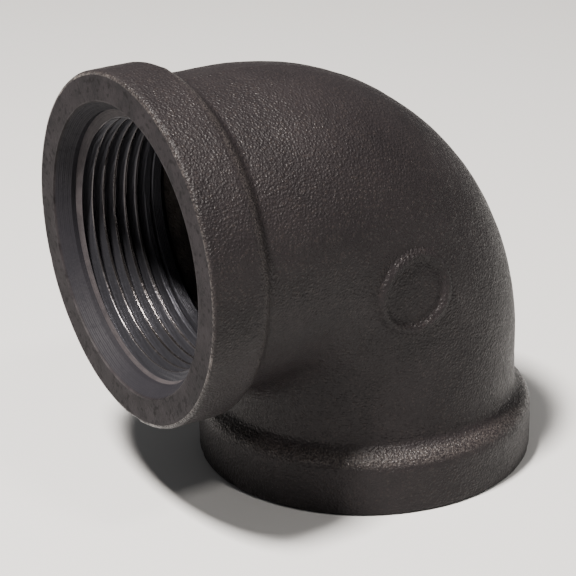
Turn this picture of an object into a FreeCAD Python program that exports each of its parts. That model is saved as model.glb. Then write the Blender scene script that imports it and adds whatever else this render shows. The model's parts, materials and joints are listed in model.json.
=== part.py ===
import FreeCAD, Part

# Pipe elbow: a 90 degree, 1-1/2 inch malleable iron fitting, class 150, with a female port at each end.
#
# The elbow is one casting. The lower port faces down and the side port faces -Y. The origin is the
# centre of the lower port's face, and +Z runs up that port's axis. The plane X = 0 divides the casting
# into mirror halves, apart from the raised ring on its +X flank. Lengths are millimetres and angles are
# degrees. A depth is measured into a port from its face. Each bore lies at the crests of its tapered pipe
# thread, whose groove isn't modelled.
import math
import os

INCH = 25.4

# The casting.
CENTRE_TO_FACE = 1.94 * INCH    # from one port's face to the other port's axis
BAND_RADIUS = 31.2              # of the reinforcing band round each port
BAND_STRAIGHT = 8.1             # from the face to where the band's shoulder starts to fall
BAND_WIDTH = 11.7               # from the face to where the shoulder meets the body
BAND_EDGE_ROUND = 0.75          # between the band's side and the port's face
BODY_RADIUS = 28.1
BODY_WALL = 3.94
BEND_RADIUS = 26.9              # of the bend's centre line
NECK_FILLET = 1.2               # where each shoulder meets the body

# The way in at each port.
COUNTERSINK_RADIUS = 25.95      # at the face
COUNTERSINK_FLOOR_RADIUS = 24.1
COUNTERSINK_DEPTH = 3.0
BORE_RADIUS = 22.25             # at the crests of the pipe thread, which is 11-1/2 to the inch
BORE_START = 4.1
BORE_END = 20.0
BORE_MOUTH = 1.6                # length of the cone that opens the bore into the hollow

# The foundry's raised ring, on the +X flank at the middle of the bend.
RING_OUTER_RADIUS = 7.5
RING_WIDTH = 1.6
RING_HEIGHT = 0.55
RING_ANGLE = 45

BEND_START = CENTRE_TO_FACE - BEND_RADIUS
HOLLOW_RADIUS = BODY_RADIUS - BODY_WALL
OVERLAP = 0.5                   # how far a cutter runs past the face it opens

ORIGIN = FreeCAD.Vector(0, 0, 0)
UP = FreeCAD.Vector(0, 0, 1)
ACROSS = FreeCAD.Vector(1, 0, 0)
BISECTOR = FreeCAD.Vector(0, 1, 1)
BEND_CENTRE = FreeCAD.Vector(0, -BEND_RADIUS, BEND_START)


def at(radius, height):
    """A point of a lower-port outline, which is drawn in the plane Y = 0 and turned about Z."""
    return FreeCAD.Vector(radius, 0, height)


def turned(edges):
    """The solid that a closed outline of edges sweeps in one turn about Z."""
    return Part.Face(Part.Wire(edges)).revolve(ORIGIN, UP, 360)


def line(start, end):
    """A straight edge of an outline."""
    return Part.LineSegment(start, end).toShape()


def to_side_port(shape):
    """A copy of a lower-port shape at the side port: half a turn about the line that halves the bend."""
    copy = shape.copy()
    copy.rotate(BEND_CENTRE, BISECTOR, 180)
    return copy


def leg():
    """A port's outside: the band, its rounded shoulder and the body's neck up to the bend."""
    edge = BAND_EDGE_ROUND
    fall = BAND_RADIUS - BODY_RADIUS
    run = BAND_WIDTH - BAND_STRAIGHT
    shoulder_radius = (fall ** 2 + run ** 2) / (2 * fall)
    half_turn = math.asin(run / shoulder_radius) / 2
    shoulder_middle = at(BAND_RADIUS - shoulder_radius * (1 - math.cos(half_turn)),
                         BAND_STRAIGHT + shoulder_radius * math.sin(half_turn))
    edge_middle = at(BAND_RADIUS - edge * (1 - math.sin(math.radians(45))),
                     edge * (1 - math.sin(math.radians(45))))
    corners = [at(0, 0), at(BAND_RADIUS - edge, 0), at(BAND_RADIUS, edge), at(BAND_RADIUS, BAND_STRAIGHT),
               at(BODY_RADIUS, BAND_WIDTH), at(BODY_RADIUS, BEND_START), at(0, BEND_START)]
    outline = [line(corners[0], corners[1]),
               Part.Arc(corners[1], edge_middle, corners[2]).toShape(),
               line(corners[2], corners[3]),
               Part.Arc(corners[3], shoulder_middle, corners[4]).toShape(),
               line(corners[4], corners[5]),
               line(corners[5], corners[6]),
               line(corners[6], corners[0])]
    solid = turned(outline)
    neck = [e for e in solid.Edges
            if abs(e.BoundBox.ZMin - BAND_WIDTH) < 1e-6 and abs(e.BoundBox.ZMax - BAND_WIDTH) < 1e-6]
    return solid.makeFillet(NECK_FILLET, neck)


def quarter_bend(radius):
    """A quarter turn of round bar about the bend's centre, kept to that centre's outer side."""
    disc = Part.Face(Part.Wire(Part.makeCircle(radius, at(0, BEND_START), UP)))
    side = 4 * radius
    outer_side = Part.makePlane(side, side, FreeCAD.Vector(-side / 2, -BEND_RADIUS, BEND_START))
    return disc.common(outer_side).Faces[0].revolve(BEND_CENTRE, ACROSS, 90)


def foundry_ring():
    """The raised ring, trimmed to the body's curve and standing RING_HEIGHT proud of it."""
    angle = math.radians(RING_ANGLE)
    middle = BEND_CENTRE + FreeCAD.Vector(0, math.cos(angle), math.sin(angle)) * BEND_RADIUS
    bar = Part.makeCylinder(RING_OUTER_RADIUS, 2 * BODY_RADIUS, middle, ACROSS)
    core = Part.makeCylinder(RING_OUTER_RADIUS - RING_WIDTH, 2 * BODY_RADIUS, middle, ACROSS)
    return bar.cut(core).common(quarter_bend(BODY_RADIUS + RING_HEIGHT))


def port_cutter():
    """What is machined out of a port: the countersink, its floor, the bore and the bore's mouth."""
    slope = (COUNTERSINK_RADIUS - COUNTERSINK_FLOOR_RADIUS) / COUNTERSINK_DEPTH
    corners = [at(0, -OVERLAP),
               at(COUNTERSINK_RADIUS + slope * OVERLAP, -OVERLAP),
               at(COUNTERSINK_FLOOR_RADIUS, COUNTERSINK_DEPTH),
               at(BORE_RADIUS, BORE_START),
               at(BORE_RADIUS, BORE_END),
               at(HOLLOW_RADIUS, BORE_END + BORE_MOUTH),
               at(HOLLOW_RADIUS, BEND_START),
               at(0, BEND_START)]
    return turned([line(a, b) for a, b in zip(corners, corners[1:] + corners[:1])])


def elbow_casting():
    """The whole casting, hollow from face to face."""
    outside = leg().fuse([to_side_port(leg()), quarter_bend(BODY_RADIUS), foundry_ring()])
    hollow = port_cutter().fuse([to_side_port(port_cutter()), quarter_bend(HOLLOW_RADIUS)])
    return outside.cut(hollow).removeSplitter()


if __name__ == "__main__":
    os.makedirs("parts", exist_ok=True)
    casting = elbow_casting()
    solid = casting.Solids[0]
    assert casting.isValid() and len(casting.Solids) == 1
    solid.exportStep("parts/elbow_casting.step")
    print("elbow_casting", solid.BoundBox, round(solid.Volume), "mm3")
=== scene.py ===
import json
import math

import bpy
from mathutils import Matrix, Vector


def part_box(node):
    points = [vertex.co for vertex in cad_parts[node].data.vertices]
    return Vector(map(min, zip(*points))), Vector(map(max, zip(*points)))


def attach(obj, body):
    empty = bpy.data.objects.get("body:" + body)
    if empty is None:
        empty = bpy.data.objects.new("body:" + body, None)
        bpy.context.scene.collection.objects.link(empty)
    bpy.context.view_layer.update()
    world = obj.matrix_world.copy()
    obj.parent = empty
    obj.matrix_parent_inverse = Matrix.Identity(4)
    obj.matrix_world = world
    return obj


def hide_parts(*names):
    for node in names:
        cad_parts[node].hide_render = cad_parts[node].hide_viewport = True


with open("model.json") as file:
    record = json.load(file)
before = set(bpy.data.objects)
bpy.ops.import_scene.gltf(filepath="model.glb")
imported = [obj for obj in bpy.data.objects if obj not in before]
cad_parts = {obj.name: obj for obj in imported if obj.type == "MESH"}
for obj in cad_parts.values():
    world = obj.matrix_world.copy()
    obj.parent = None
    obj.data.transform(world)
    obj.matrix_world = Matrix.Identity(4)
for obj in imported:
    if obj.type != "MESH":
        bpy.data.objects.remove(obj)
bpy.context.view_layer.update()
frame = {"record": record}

mounts = {mount["name"]: mount for mount in frame["record"]["mounts"]}
MM = 0.001


# ---- The elbow: how a node tree is written ----
# The elbow is one casting in black malleable iron, so it is one mesh. A node tree works it out as the
# foundry and the machinist would, and its finishes are node trees too, so both kinds are written alike.
class Socket:
    """An output of a node. Arithmetic on it adds Math nodes, so that a formula reads as one."""

    def __init__(self, tree, output):
        self.tree = tree
        self.output = output

    def math(self, operation, *values):
        return self.tree.node("ShaderNodeMath", {"operation": operation}, [self, *values])

    def vector(self, operation, *values):
        return self.tree.node("ShaderNodeVectorMath", {"operation": operation}, [self, *values])

    def also(self, name):
        """Another output of the same node."""
        return Socket(self.tree, self.output.node.outputs[name])

    def scaled(self, factor):
        """The vector times a number."""
        return self.tree.node("ShaderNodeVectorMath", {"operation": "SCALE"}, {0: self, "Scale": factor})

    def xyz(self):
        x = self.tree.node("ShaderNodeSeparateXYZ", {}, [self])
        return x, x.also("Y"), x.also("Z")

    def clamped(self):
        return self.math("MINIMUM", 1.0).math("MAXIMUM", 0.0)

    def __add__(self, other):
        return self.math("ADD", other)

    def __sub__(self, other):
        return self.math("SUBTRACT", other)

    def __mul__(self, other):
        return self.math("MULTIPLY", other)

    def __truediv__(self, other):
        return self.math("DIVIDE", other)

    def __lt__(self, other):
        return self.math("LESS_THAN", other)

    def __gt__(self, other):
        return self.math("GREATER_THAN", other)

    def __rsub__(self, other):
        return self.tree.node("ShaderNodeMath", {"operation": "SUBTRACT"}, [other, self])

    __radd__ = __add__


class Tree:
    """A node tree, with the one way in which nodes are added to it."""

    def __init__(self, tree):
        self.tree = tree

    def node(self, kind, settings, inputs=()):
        """Adds a node: its settings first, then a value, a link or a list of links for each socket."""
        node = self.tree.nodes.new(kind)
        for name, value in settings.items():
            setattr(node, name, value)
        pairs = inputs.items() if isinstance(inputs, dict) else enumerate(inputs)
        for key, value in pairs:
            self.feed(self.entry(node, key), value)
        shown = [output for output in node.outputs if output.enabled]
        return Socket(self, shown[0]) if shown else node

    def entry(self, node, key):
        if isinstance(key, int):
            return node.inputs[key]
        return next(s for s in node.inputs if s.enabled and key in (s.name, s.identifier))

    def feed(self, socket, value):
        if isinstance(value, Socket):
            self.tree.links.new(value.output, socket)
        elif isinstance(value, list):
            for each in value:
                self.feed(socket, each)
        else:
            socket.default_value = value


# ---- The elbow: its shape ----
# Poured in sand round a core, then faced, countersunk and tapped at each end. Half a turn about the line
# that halves the bend lays one end on the other, so the tree builds the lower half and turns a copy of it.
# Each surface is a sheet of rings round the centre line, and the sheets meet ring to ring, from the
# middle of the hollow out through the port and back over the skin to the middle of the bend.
low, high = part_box("elbow_casting")
CENTRE_TO_FACE = mounts["side_port_face"]["pos_m"][2]
BAND_RADIUS = (high[0] - low[0]) / 2

COLUMNS = 232                       # of points round each ring
LEG_ROWS = 46                       # of the skin along a leg
FAN_ROWS = 46                       # of the skin round half the bend
ROWS_PER_PITCH = 12                 # of the thread
SKIN, MACHINED, HOLLOW = 0.0, 1.0, 2.0
FULLY_CAST, CORED, CUT = 1.0, 0.8, 0.0      # how strongly the mould's unevenness shows on a sheet
FAR_OFF = 1.0                       # a gap too wide to matter
FIRST_REACH = 20 * MM               # from the centre line to where the skin's points start out
SEAM = 0.002 * MM                   # the widest gap that is closed between two sheets
CRISP_EDGE = math.radians(28)       # the least turn between faces that stays a sharp edge
EIGHTH_TURN = math.tau / 8          # which is half the bend
THREAD_FLANK = math.sqrt(3)         # the rise of a 60 degree thread's flank for each unit of depth

SIZES = {
    "Centre to face": CENTRE_TO_FACE,
    "Band radius": BAND_RADIUS,
    "Band straight": 8.1 * MM,
    "Band width": 11.7 * MM,
    "Edge round": 0.75 * MM,
    "Body radius": 28.1 * MM,
    "Bend radius": 26.9 * MM,
    "Hollow radius": 24.16 * MM,
    "Neck fillet": 1.6 * MM,
    "Crotch fillet": 4.5 * MM,
    "Crotch reach": 10.0 * MM,
    "Fan radius": 33.0 * MM,
    "Countersink radius": 25.95 * MM,
    "Countersink rim": 0.2 * MM,
    "Countersink rim width": 0.12 * MM,
    "Countersink floor radius": 24.1 * MM,
    "Countersink depth": 2.7 * MM,
    "Recess depth": 3.55 * MM,
    "Crest radius": mounts["lower_port"]["dims"]["r_mm"] * MM,
    "Thread start": 3.95 * MM,
    "Thread phase": 0.37,
    "Thread pitch": 25.4 / 11.5 * MM,
    "Thread root radius": 24.03 * MM,
    "Thread root flat": 0.12 * MM,
    "Thread taper": 1 / 32,
    "Thread fade": 16.0 * MM,
    "Thread end": 18.4 * MM,
    "Bore end": 20.0 * MM,
    "Mouth end": 21.6 * MM,
    "Ring radius": 6.7 * MM,
    "Ring width": 1.1 * MM,
    "Ring softness": 0.8 * MM,
    "Ring height": 0.65 * MM,
    "Ring rounding": 0.4,
    "Flash height": 0.10 * MM,
    "Flash width": 0.9 * MM,
    "Flash patch": 9.0 * MM,
    "Waviness": 0.16 * MM,
    "Wave length": 16.0 * MM,
    "Lumpiness": 0.07 * MM,
    "Lump length": 2.4 * MM,
    "Nick depth": 0.45 * MM,
    "Nick reach": 1.6 * MM,
    "Nick spacing": 4.0 * MM,
    "Nick rarity": 0.28,
    "Nick steepness": 6.0,
    "Flank crowding": 0.30,
}


class CastingTree(Tree):
    """The tree that makes the casting. Lengths are metres, and depth runs into a port from its face."""

    def __init__(self, group, sizes):
        super().__init__(group)
        for name, value in sizes.items():
            socket = group.interface.new_socket(name, in_out="INPUT", socket_type="NodeSocketFloat")
            socket.default_value = value
        group.interface.new_socket("Casting", in_out="OUTPUT", socket_type="NodeSocketGeometry")
        self.given = group.nodes.new("NodeGroupInput")

    def size(self, name):
        return Socket(self, self.given.outputs[name])

    def at(self, x, y, z):
        return self.node("ShaderNodeCombineXYZ", {}, [x, y, z])

    def length(self, a, b):
        return (a * a + b * b).math("SQRT")

    def rounded_union(self, a, b, radius):
        """The gap to two solids joined by a fillet of the given radius."""
        inside = self.length((radius - a).math("MAXIMUM", 0.0), (radius - b).math("MAXIMUM", 0.0))
        return a.math("MINIMUM", b).math("MAXIMUM", radius) - inside

    def store(self, geometry, name, value, domain="POINT", kind="FLOAT"):
        return self.node("GeometryNodeStoreNamedAttribute", {"data_type": kind, "domain": domain},
                         {"Geometry": geometry, "Name": name, "Value": value})

    def stored(self, name, kind="FLOAT"):
        return self.node("GeometryNodeInputNamedAttribute", {"data_type": kind}, {"Name": name})

    def place(self, geometry, position):
        return self.node("GeometryNodeSetPosition", {}, {"Geometry": geometry, "Position": position})

    def sheet(self, rows, zone, cast):
        """A sheet of rings, with its row number and its angle round the centre line as fields."""
        grid = self.node("GeometryNodeMeshGrid", {}, {"Vertices X": rows + 1, "Vertices Y": COLUMNS + 1})
        index = self.node("GeometryNodeInputIndex", {})
        row = ((index + 0.5) / (COLUMNS + 1)).math("FLOOR")
        turn = (index - row * (COLUMNS + 1)) / COLUMNS * math.tau
        # the columns crowd together on the flanks, where the foundry's ring stands
        angle = turn - (turn * 2).math("SINE") * self.size("Flank crowding") / 2
        grid = self.store(grid, "zone", zone, "FACE")
        return self.store(grid, "cast", cast), row, angle

    def in_port(self, radius, depth, angle):
        """A point of the lower port, from its radius, its depth and its angle."""
        return self.at(radius * angle.math("COSINE"), radius * angle.math("SINE"), depth)

    def turned_wall(self, rows, start, end, zone=MACHINED):
        """A straight stretch of a port's outline, each end a radius and a depth, turned about the axis."""
        grid, row, angle = self.sheet(rows, zone, CUT)
        along = row / rows
        radius = along * (end[0] - start[0]) + start[0]
        depth = along * (end[1] - start[1]) + start[1]
        return self.place(grid, self.in_port(radius, depth, angle))

    def cored_bend(self, rows=12):
        """The hollow, from the middle of the bend to the lower leg."""
        grid, row, angle = self.sheet(rows, HOLLOW, CORED)
        sweep = (1.0 - row / rows) * EIGHTH_TURN
        bend = self.size("Bend radius")
        reach = bend + self.size("Hollow radius") * angle.math("SINE")
        across = self.size("Hollow radius") * angle.math("COSINE")
        start = self.size("Centre to face") - bend
        return self.place(grid, self.at(across, reach * sweep.math("COSINE") - bend,
                                        reach * sweep.math("SINE") + start))

    def tapped_wall(self, step_rows=2):
        """The thread, and the step face that it starts from.

        The rows follow the helix, and are held between the step face and the thread's end.
        """
        pitch, end, start = self.size("Thread pitch"), self.size("Thread end"), self.size("Thread start")
        travel = (SIZES["Thread end"] - SIZES["Thread start"]) / SIZES["Thread pitch"]
        helix_rows = math.ceil(travel + 2) * ROWS_PER_PITCH
        grid, row, angle = self.sheet(helix_rows + step_rows, MACHINED, CUT)
        turned = angle / math.tau + self.size("Thread phase")
        depth = (end + pitch * (turned - row / ROWS_PER_PITCH)).math("MINIMUM", end).math("MAXIMUM", start)
        # a sharp V with a small root flat and flanks 30 degrees off square, which fades out behind
        off_root = ((end - depth) / pitch + turned).math("FRACT") - 0.5
        flank = (off_root.math("ABSOLUTE") * pitch - self.size("Thread root flat") / 2).math("MAXIMUM", 0.0)
        crest = self.size("Crest radius")
        root = self.size("Thread root radius") - depth * self.size("Thread taper")
        fade = ((depth - self.size("Thread fade")) / (end - self.size("Thread fade"))).clamped()
        root = root - fade * fade * (root - crest)
        radius = crest.math("MAXIMUM", root - flank * THREAD_FLANK)
        up_step = (row - helix_rows).math("MAXIMUM", 0.0) / step_rows
        radius = radius + up_step * (self.size("Countersink floor radius") - radius)
        depth = depth - up_step * (start - self.size("Recess depth"))
        grid = self.store(grid, "threaded", 1.0)
        return self.place(grid, self.in_port(radius, depth, angle))

    def band_edge(self, rows=4):
        """The rounding between the turned face and the cast band."""
        grid, row, angle = self.sheet(rows, SKIN, FULLY_CAST)
        across = (1.0 - row / rows) * (2 * EIGHTH_TURN)
        edge = self.size("Edge round")
        radius = self.size("Band radius") - edge * (1.0 - across.math("COSINE"))
        grid = self.store(grid, "cast", row / rows * FULLY_CAST)
        return self.place(grid, self.in_port(radius, edge * (1.0 - across.math("SINE")), angle))

    def leg_gap(self, x, across, depth):
        """The gaps from a point to a leg's neck and to its band."""
        radius = self.length(x, across)
        fall = self.size("Band radius") - self.size("Body radius")
        run = self.size("Band width") - self.size("Band straight")
        shoulder = (fall * fall + run * run) / (fall * 2)
        over = (depth - self.size("Band straight")).math("MAXIMUM", 0.0)
        band = self.length(radius - self.size("Band radius") + shoulder, over) - shoulder
        return radius - self.size("Body radius"), band

    def skin_gap(self, position):
        """The gap from a point to the casting's outside, negative within it."""
        x, y, z = position.xyz()
        face, bend, reach = self.size("Centre to face"), self.size("Bend radius"), self.size("Crotch reach")
        past_y = y + bend
        past_z = z - face + bend
        lower_neck, lower_band = self.leg_gap(x, y, z)
        side_neck, side_band = self.leg_gap(x, z - face, y + face)
        elbow = self.length(x, self.length(past_y, past_z) - bend) - self.size("Body radius")
        lower_leg = lower_neck + (past_z > 0.0) * FAR_OFF
        side_leg = side_neck + (past_y > 0.0) * FAR_OFF
        elbow = elbow + past_y.math("MINIMUM", past_z).math("LESS_THAN", 0.0) * FAR_OFF
        web = self.rounded_union(lower_neck, side_neck, self.size("Crotch fillet"))
        web = web + (past_y.math("MAXIMUM", past_z) > reach) * FAR_OFF
        body = lower_leg.math("MINIMUM", side_leg).math("MINIMUM", elbow).math("MINIMUM", web)
        banded = self.rounded_union(body, lower_band, self.size("Neck fillet"))
        return self.rounded_union(banded, side_band, self.size("Neck fillet"))

    def cast_skin(self, steps=28):
        """The outside, from the lower band's edge to the middle of the bend.

        Its rings lie square to the leg, then fan out about a line just clear of the crotch. Each point
        starts near the centre line and steps out along its ring's spoke until no gap is left.
        """
        grid, row, angle = self.sheet(LEG_ROWS + FAN_ROWS, SKIN, FULLY_CAST)
        fan, edge = self.size("Fan radius"), self.size("Edge round")
        fan_start = self.size("Centre to face") - fan
        along = (row / LEG_ROWS).math("MINIMUM", 1.0)
        sweep = (row - LEG_ROWS).math("MAXIMUM", 0.0) / FAN_ROWS * EIGHTH_TURN
        cosine, sine = sweep.math("COSINE"), sweep.math("SINE")
        centre = self.at(0.0, fan * cosine - fan, edge + (fan_start - edge) * along + fan * sine)
        spoke = self.at(angle.math("COSINE"), angle.math("SINE") * cosine, angle.math("SINE") * sine)
        grid = self.store(grid, "spoke", spoke, kind="FLOAT_VECTOR")
        grid = self.place(grid, centre.vector("ADD", spoke.scaled(FIRST_REACH)))
        start = self.tree.nodes.new("GeometryNodeRepeatInput")
        finish = self.tree.nodes.new("GeometryNodeRepeatOutput")
        start.pair_with_output(finish)
        start.inputs["Iterations"].default_value = steps
        self.feed(start.inputs["Geometry"], grid)
        gap = self.skin_gap(self.node("GeometryNodeInputPosition", {}))
        offset = self.stored("spoke", "FLOAT_VECTOR").scaled(0.0 - gap)
        moved = self.node("GeometryNodeSetPosition", {},
                          {"Geometry": Socket(self, start.outputs["Geometry"]), "Offset": offset})
        self.feed(finish.inputs["Geometry"], moved)
        return Socket(self, finish.outputs["Geometry"])

    def lower_half(self):
        """Every sheet of the lower half, in order from the middle of the hollow to that of the skin."""
        size = self.size
        face_edge = size("Band radius") - size("Edge round")
        rim, rim_width = size("Countersink rim"), size("Countersink rim width")
        depth = size("Countersink depth")
        leg_end = size("Centre to face") - size("Bend radius")
        hollow, crest, floor = size("Hollow radius"), size("Crest radius"), size("Countersink floor radius")
        mouth = size("Countersink radius")
        sheets = [
            self.cored_bend(),
            self.turned_wall(1, (hollow, leg_end), (hollow, size("Mouth end")), HOLLOW),
            self.turned_wall(2, (hollow, size("Mouth end")), (crest, size("Bore end"))),
            self.turned_wall(1, (crest, size("Bore end")), (crest, size("Thread end"))),
            self.tapped_wall(),
            self.turned_wall(1, (floor, size("Recess depth")), (floor, depth)),
            self.turned_wall(4, (floor, depth), (mouth - rim_width, rim)),
            self.turned_wall(1, (mouth - rim_width, rim), (mouth, 0.0)),
            self.turned_wall(5, (mouth, 0.0), (face_edge, 0.0)),
            self.band_edge(),
            self.cast_skin(),
        ]
        return self.node("GeometryNodeJoinGeometry", {}, {"Geometry": sheets})

    def turned_copy(self, half):
        """The other half: half a turn about the line that halves the bend."""
        face = self.size("Centre to face")
        return self.node("GeometryNodeTransform", {}, {
            "Geometry": half,
            "Rotation": (2 * EIGHTH_TURN, 0.0, 4 * EIGHTH_TURN),
            "Translation": self.at(0.0, 0.0 - face, face),
        })

    def lumps(self, position, across):
        """Smooth noise from -1 to 1, its lumps the given size across."""
        scale = self.node("ShaderNodeMath", {"operation": "DIVIDE"}, [1.0, self.size(across)])
        noise = self.node("ShaderNodeTexNoise", {}, {"Vector": position, "Scale": scale, "Detail": 1.0})
        return noise * 2 - 1.0

    def raised_ring(self, x, y, z):
        """The height of the foundry's ring, which stands on one flank at the middle of the bend."""
        face, bend = self.size("Centre to face"), self.size("Bend radius")
        out = bend * math.cos(EIGHTH_TURN)
        off = self.length(y + bend - out, z - face + bend - out) - self.size("Ring radius")
        rise = (self.size("Ring width") - off.math("ABSOLUTE")) / self.size("Ring softness")
        rise = rise.clamped().math("SMOOTH_MIN", 1.0, self.size("Ring rounding"))
        return rise * (x > 0.0) * self.size("Ring height")

    def as_cast(self, mesh):
        """The mould's unevenness: slow waves, small lumps, the parting line's flash, nicks and the ring."""
        position = self.node("GeometryNodeInputPosition", {})
        x, y, z = position.xyz()
        flash = (1.0 - x.math("ABSOLUTE") / self.size("Flash width")).clamped()
        heel = y.math("MAXIMUM", z - self.size("Centre to face")) > 0.0
        flash = flash * flash * heel * (self.lumps(position, "Flash patch") + 1.0) * self.size("Flash height")
        uneven = self.lumps(position, "Wave length") * self.size("Waviness")
        uneven = uneven + self.lumps(position, "Lump length") * self.size("Lumpiness")
        edge = z.math("MINIMUM", y + self.size("Centre to face"))
        edge = (1.0 - edge / self.size("Nick reach")).clamped()
        bite = (self.lumps(position, "Nick spacing") - self.size("Nick rarity")) * self.size("Nick steepness")
        nicks = bite.clamped() * edge * self.size("Nick depth")
        height = (uneven + flash + self.raised_ring(x, y, z) - nicks) * self.stored("cast")
        normal = self.node("GeometryNodeInputNormal", {})
        return self.node("GeometryNodeSetPosition", {}, {"Geometry": mesh, "Offset": normal.scaled(height)})

    def finished(self, mesh, materials):
        """The surface finish of each zone, and a crisp edge wherever a tool left one."""
        turn = self.node("GeometryNodeInputMeshEdgeAngle", {})
        crisp = (turn > CRISP_EDGE) * (self.stored("threaded") < 0.5)
        mesh = self.node("GeometryNodeSetShadeSmooth", {"domain": "EDGE"},
                         {"Geometry": mesh, "Selection": crisp, "Shade Smooth": False})
        for zone, material in materials.items():
            here = self.stored("zone") > zone - 0.5
            mesh = self.node("GeometryNodeSetMaterial", {},
                             {"Geometry": mesh, "Selection": here, "Material": material})
        return mesh

    def casting(self, materials):
        half = self.lower_half()
        both = self.node("GeometryNodeJoinGeometry", {}, {"Geometry": [half, self.turned_copy(half)]})
        whole = self.node("GeometryNodeRealizeInstances", {}, {"Geometry": both})
        whole = self.node("GeometryNodeMergeByDistance", {}, {"Geometry": whole, "Distance": SEAM})
        whole = self.node("GeometryNodeFlipFaces", {}, [whole])
        done = self.finished(self.as_cast(whole), materials)
        self.feed(self.tree.nodes.new("NodeGroupOutput").inputs["Casting"], done)


# ---- The elbow: its finishes ----
# The skin is black as it left the annealing oven, sandy from the mould and lightly oiled. The faces,
# countersinks and threads are cut iron that has dulled to a purplish grey, and the hollow is core-rough.
class FinishTree(Tree):
    """A material's node tree, read from the object's own coordinates."""

    def __init__(self, name):
        self.material = bpy.data.materials.new(name)
        self.material.use_nodes = True
        super().__init__(self.material.node_tree)
        self.tree.nodes.clear()
        self.place = self.node("ShaderNodeTexCoord", {}).also("Object")

    def noise(self, across, detail=2.0, roughness=0.5):
        """Noise from 0 to 1, its grains the given distance across."""
        return self.node("ShaderNodeTexNoise", {}, {
            "Vector": self.place,
            "Scale": 1 / across,
            "Detail": detail,
            "Roughness": roughness,
        })

    def cells(self, across):
        """The distance to the nearest of a scatter of points, in cells of the given size."""
        return self.node("ShaderNodeTexVoronoi", {}, {"Vector": self.place, "Scale": 1 / across})

    def patches(self, noise, low, spread):
        """Noise made into patches: 0 up to low, then rising to 1 over the spread."""
        return ((noise - low) / spread).clamped()

    def mixed(self, factor, first, second):
        """A colour between two, each a colour's three parts or a socket."""
        first, second = [(*c, 1.0) if isinstance(c, tuple) else c for c in (first, second)]
        return self.node("ShaderNodeMix", {"data_type": "RGBA"}, {"Factor": factor, "A": first, "B": second})

    def port_place(self):
        """The radius and depth of a point in the nearer port."""
        x, y, z = self.place.xyz()
        side_depth = y + CENTRE_TO_FACE
        beyond = z > side_depth
        depth = z + beyond * (side_depth - z)
        across = y + beyond * (z - CENTRE_TO_FACE - y)
        return (x * x + across * across).math("SQRT"), depth

    def finish(self, colour, roughness, metallic=0.0, specular=0.5, height=None, relief=0.0):
        """Ends the tree. Height is in units of the relief, which is a length."""
        shader = self.node("ShaderNodeBsdfPrincipled", {}, {
            "Base Color": colour,
            "Roughness": roughness,
            "Metallic": metallic,
            "Specular IOR Level": specular,
        })
        if height is not None:
            bump = self.node("ShaderNodeBump", {}, {"Strength": 1.0, "Distance": relief, "Height": height})
            self.feed(shader.output.node.inputs["Normal"], bump)
        self.node("ShaderNodeOutputMaterial", {}, {"Surface": shader})
        return self.material


def cast_skin_finish():
    """Black oxide over sand grain: some grains are smoother and glint, with a painted glint lightening their
    colour, the shoulders are rubbed and the edge has a burr.
    """
    deep_black, worn_black = (0.0078, 0.0064, 0.0071), (0.0121, 0.0100, 0.0107)
    painted_glint_colour, bare_iron = (0.055, 0.044, 0.039), (0.085, 0.075, 0.070)
    sand_size, grain_size, cloud_size = 0.35 * MM, 0.52 * MM, 14 * MM
    burr_size, burr_spacing = 2.2 * MM, 15 * MM
    burr_start, burr_end = 0.12 * MM, 0.24 * MM
    glinting_above, smoothest = 0.72, 0.22
    tree = FinishTree("black_cast_skin")
    radius, depth = tree.port_place()
    sand = tree.noise(sand_size, 2.0, 0.6)
    grain = tree.cells(grain_size)
    rounded = (1.0 - grain * 1.6).clamped()
    cloud = tree.patches(tree.noise(cloud_size, 4.0, 0.6), 0.35, 0.3)
    colour = tree.mixed(cloud, deep_black, worn_black)
    bright, dull, _ = grain.also("Color").xyz()
    # the grains that glint are smoother, and their colour is also lightened a little, which is a painted
    # glint
    smooth_grain_and_painted_glint = (bright > glinting_above) * rounded
    colour = tree.mixed(smooth_grain_and_painted_glint * 0.2, colour, painted_glint_colour)

    # handling has rubbed the bands' shoulders, between the band's side and the neck
    shoulder_top, shoulder_foot = BAND_RADIUS - 0.1 * MM, SIZES["Body radius"] + 0.6 * MM
    shoulder_end = SIZES["Band width"] + 0.8 * MM
    below_top = ((shoulder_top - radius) / (0.3 * MM)).clamped()
    above_foot = ((radius - shoulder_foot) / (0.8 * MM)).clamped()
    rubbed = below_top * above_foot * (depth < shoulder_end) * tree.patches(sand, 0.46, 0.1)

    # cutting the face has left a bright burr here and there at its edge
    ragged = tree.patches(tree.noise(burr_size, 3.0), 0.48, 0.12)
    ragged = ragged * tree.patches(tree.noise(burr_spacing), 0.50, 0.08)
    burr = ((burr_end - depth) / (burr_end - burr_start)).clamped() * ragged
    colour = tree.mixed(rubbed * 0.30 + burr * 0.8, colour, bare_iron)
    roughness = 0.42 - cloud * 0.06 + dull * 0.10 - smooth_grain_and_painted_glint * 0.26 - rubbed * 0.16 - burr * 0.1
    return tree.finish(colour, roughness.math("MAXIMUM", smoothest), specular=0.15,
                       height=rounded * 0.5 + sand * 0.8, relief=0.22 * MM)


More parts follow.
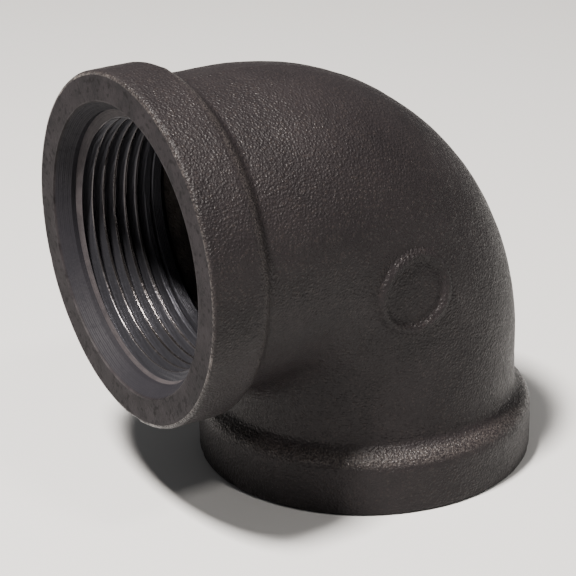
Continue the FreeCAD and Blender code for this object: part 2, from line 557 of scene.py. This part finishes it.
def machined_finish():
    """Iron cut by a lathe tool and a tap, oily and dark inside, worn brighter at its crests and rims."""
    dull_iron, grey_iron = (0.0056, 0.0046, 0.0056), (0.0122, 0.0101, 0.0116)
    speck_black, worn_iron = (0.0025, 0.0022, 0.0025), (0.088, 0.081, 0.082)
    countersink_grey, thread_grey = (0.0112, 0.0109, 0.0136), (0.0330, 0.0330, 0.0385)
    step_grey = (0.036, 0.032, 0.034)
    stain_size, speck_size, streak_size, pit_size = 4 * MM, 1.1 * MM, 2.5 * MM, 0.5 * MM
    fine_feed, coarse_feed, wander, wander_size = 0.17 * MM, 0.41 * MM, 0.3 * MM, 6 * MM
    face_end, rim_end = 0.2 * MM, 0.5 * MM
    crest_height, rim_reach, crest_fade = 0.16 * MM, 0.28 * MM, 2.5 * MM
    tree = FinishTree("cut_iron")
    radius, depth = tree.port_place()
    colour = tree.mixed(tree.patches(tree.noise(stain_size, 4.0, 0.6), 0.38, 0.24), dull_iron, grey_iron)
    speck = tree.patches(tree.noise(speck_size, 3.0), 0.56, 0.08)
    colour = tree.mixed(speck * 0.6, colour, speck_black)
    inside = ((depth - face_end) / (rim_end - face_end)).clamped()
    colour = tree.mixed(inside * 0.8, colour, countersink_grey)
    colour = tree.mixed(depth > SIZES["Thread start"], colour, thread_grey)

    # how far down the step a point lies: 0 where the step begins, and past 1 in the thread
    fall = (depth - SIZES["Recess depth"]) / (SIZES["Thread start"] - SIZES["Recess depth"])
    step = (fall > 0.02) * (fall < 1.001)
    threaded = fall > 1.0
    streaks = tree.patches(tree.noise(streak_size, 3.0), 0.35, 0.2)
    colour = tree.mixed(step * (streaks * 0.4 + 0.6), colour, step_grey)
    crest = (1.0 - (radius - SIZES["Crest radius"]) / crest_height).clamped() * threaded
    crest = crest * ((SIZES["Thread fade"] - depth) / crest_fade).clamped()
    rim = (1.0 - (radius - SIZES["Countersink radius"]).math("ABSOLUTE") / rim_reach).clamped()
    worn = crest + rim * (depth < rim_end) * streaks * 0.12
    colour = tree.mixed(worn, colour, worn_iron)
    roughness = 0.62 + speck * 0.1 - threaded * 0.26 - crest * 0.14

    # the tool's marks run round the port, fine and coarse, and wander a little
    path = radius + depth * 1.3 + (tree.noise(wander_size) - 0.5) * wander
    marks = (path * (math.tau / fine_feed)).math("SINE") + (path * (math.tau / coarse_feed)).math("SINE")
    height = marks * ((depth > 0.3 * MM) * 0.16 + 0.03) + tree.noise(pit_size, 3.0) * 1.2
    return tree.finish(colour, roughness, metallic=threaded * (crest * 0.30 + 0.65), specular=0.10,
                       height=height, relief=0.05 * MM)


def hollow_finish():
    """The wall that the sand core left, dull and rough, with lighter patches where sand clung, its colour
    painted much lighter than the skin's as painted light in the deep hollow.
    """
    # both colours are lifted well above the skin's black as painted light, since little lamp light reaches
    # the deep hollow
    core_iron_with_painted_light, sandy_grey_with_painted_light = (0.036, 0.032, 0.031), (0.062, 0.054, 0.050)
    patch_size, grain_size = 7 * MM, 0.9 * MM
    tree = FinishTree("core_rough_iron")
    patches = tree.patches(tree.noise(patch_size, 2.0), 0.4, 0.2)
    colour = tree.mixed(patches, core_iron_with_painted_light, sandy_grey_with_painted_light)
    return tree.finish(colour, 0.72 - patches * 0.1, specular=0.2,
                       height=tree.noise(grain_size, 3.0, 0.6), relief=0.3 * MM)


shape = bpy.data.node_groups.new("elbow_casting_shape", "GeometryNodeTree")
finishes = {SKIN: cast_skin_finish(), MACHINED: machined_finish(), HOLLOW: hollow_finish()}
CastingTree(shape, SIZES).casting(finishes)
elbow = bpy.data.objects.new("elbow_casting_visual", bpy.data.meshes.new("elbow_casting_start"))
bpy.context.scene.collection.objects.link(elbow)
maker = elbow.modifiers.new("shape", "NODES")
maker.node_group = shape
for item in shape.interface.items_tree:
    if item.in_out == "INPUT":
        maker[item.identifier] = SIZES[item.name]
graph = bpy.context.evaluated_depsgraph_get()
casting = bpy.data.meshes.new_from_object(elbow.evaluated_get(graph), depsgraph=graph)
elbow.modifiers.remove(maker)
# the tree's grids leave an empty material slot in front of the three finishes
casting.materials.pop(index=0)
elbow.data = casting
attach(elbow, "root")
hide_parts("elbow_casting")


# ---- The room: floor, light and camera ----
# A pale studio floor and pale surroundings. The key lamp is high in front of the side port, so it lights
# the top, the thread and the face. The second lamp is to the right, and glints on the shoulders and flank.
FLOOR_REACH = 3.0
FLOOR_GREY = (0.42, 0.42, 0.42, 1.0)
floor_mesh = bpy.data.meshes.new("floor")
corners = [(-FLOOR_REACH, -FLOOR_REACH, 0), (FLOOR_REACH, -FLOOR_REACH, 0),
           (FLOOR_REACH, FLOOR_REACH, 0), (-FLOOR_REACH, FLOOR_REACH, 0)]
floor_mesh.from_pydata(corners, [], [(0, 1, 2, 3)])
floor_mesh.materials.append(FinishTree("pale_floor").finish(FLOOR_GREY, 0.9))
floor = bpy.data.objects.new("floor", floor_mesh)
bpy.context.scene.collection.objects.link(floor)

world = bpy.data.worlds.new("studio")
world.use_nodes = True
surroundings = world.node_tree.nodes["Background"]
surroundings.inputs["Color"].default_value = (1.0, 1.0, 1.0, 1.0)
surroundings.inputs["Strength"].default_value = 0.20
bpy.context.scene.world = world

MIDDLE = Vector((0.0, -0.009, 0.040))
WARM_WHITE = (1.0, 0.945, 0.885)


def outwards(azimuth, elevation):
    """The direction of an azimuth and an elevation. Azimuth 0 points to -Y and azimuth 90 to +X."""
    level = Vector((math.sin(azimuth), -math.cos(azimuth), 0.0)) * math.cos(elevation)
    return level + Vector((0.0, 0.0, math.sin(elevation)))


def lamp(name, azimuth, elevation, distance, size, power):
    """A square lamp that faces the elbow, its angles in degrees."""
    data = bpy.data.lights.new(name, "AREA")
    data.energy = power
    data.size = size
    data.color = WARM_WHITE
    light = bpy.data.objects.new(name, data)
    direction = outwards(math.radians(azimuth), math.radians(elevation))
    light.location = MIDDLE + distance * direction
    light.rotation_euler = (-direction).to_track_quat("-Z", "Y").to_euler()
    bpy.context.scene.collection.objects.link(light)


lamp("key", azimuth=14, elevation=66, distance=0.8, size=0.12, power=36)
lamp("right", azimuth=102, elevation=54, distance=1.0, size=0.10, power=4.6)

CAMERA_PLACE = (0.297019, -0.199498, 0.182503)
CAMERA_AZIMUTH = math.radians(58.3283)
CAMERA_ELEVATION = math.radians(22.9652)
CAMERA_ROLL = math.radians(-1.2574)
camera_data = bpy.data.cameras.new("camera")
camera_data.lens = 131.478
camera_data.sensor_width = 36
camera = bpy.data.objects.new("camera", camera_data)
back = outwards(CAMERA_AZIMUTH, CAMERA_ELEVATION)
level_right = Vector((math.cos(CAMERA_AZIMUTH), math.sin(CAMERA_AZIMUTH), 0.0))
level_up = back.cross(level_right)
right = math.cos(CAMERA_ROLL) * level_right + math.sin(CAMERA_ROLL) * level_up
up = math.cos(CAMERA_ROLL) * level_up - math.sin(CAMERA_ROLL) * level_right
turn = Matrix((right, up, back)).transposed().to_4x4()
camera.matrix_world = Matrix.Translation(CAMERA_PLACE) @ turn
bpy.context.scene.collection.objects.link(camera)
bpy.context.scene.camera = camera
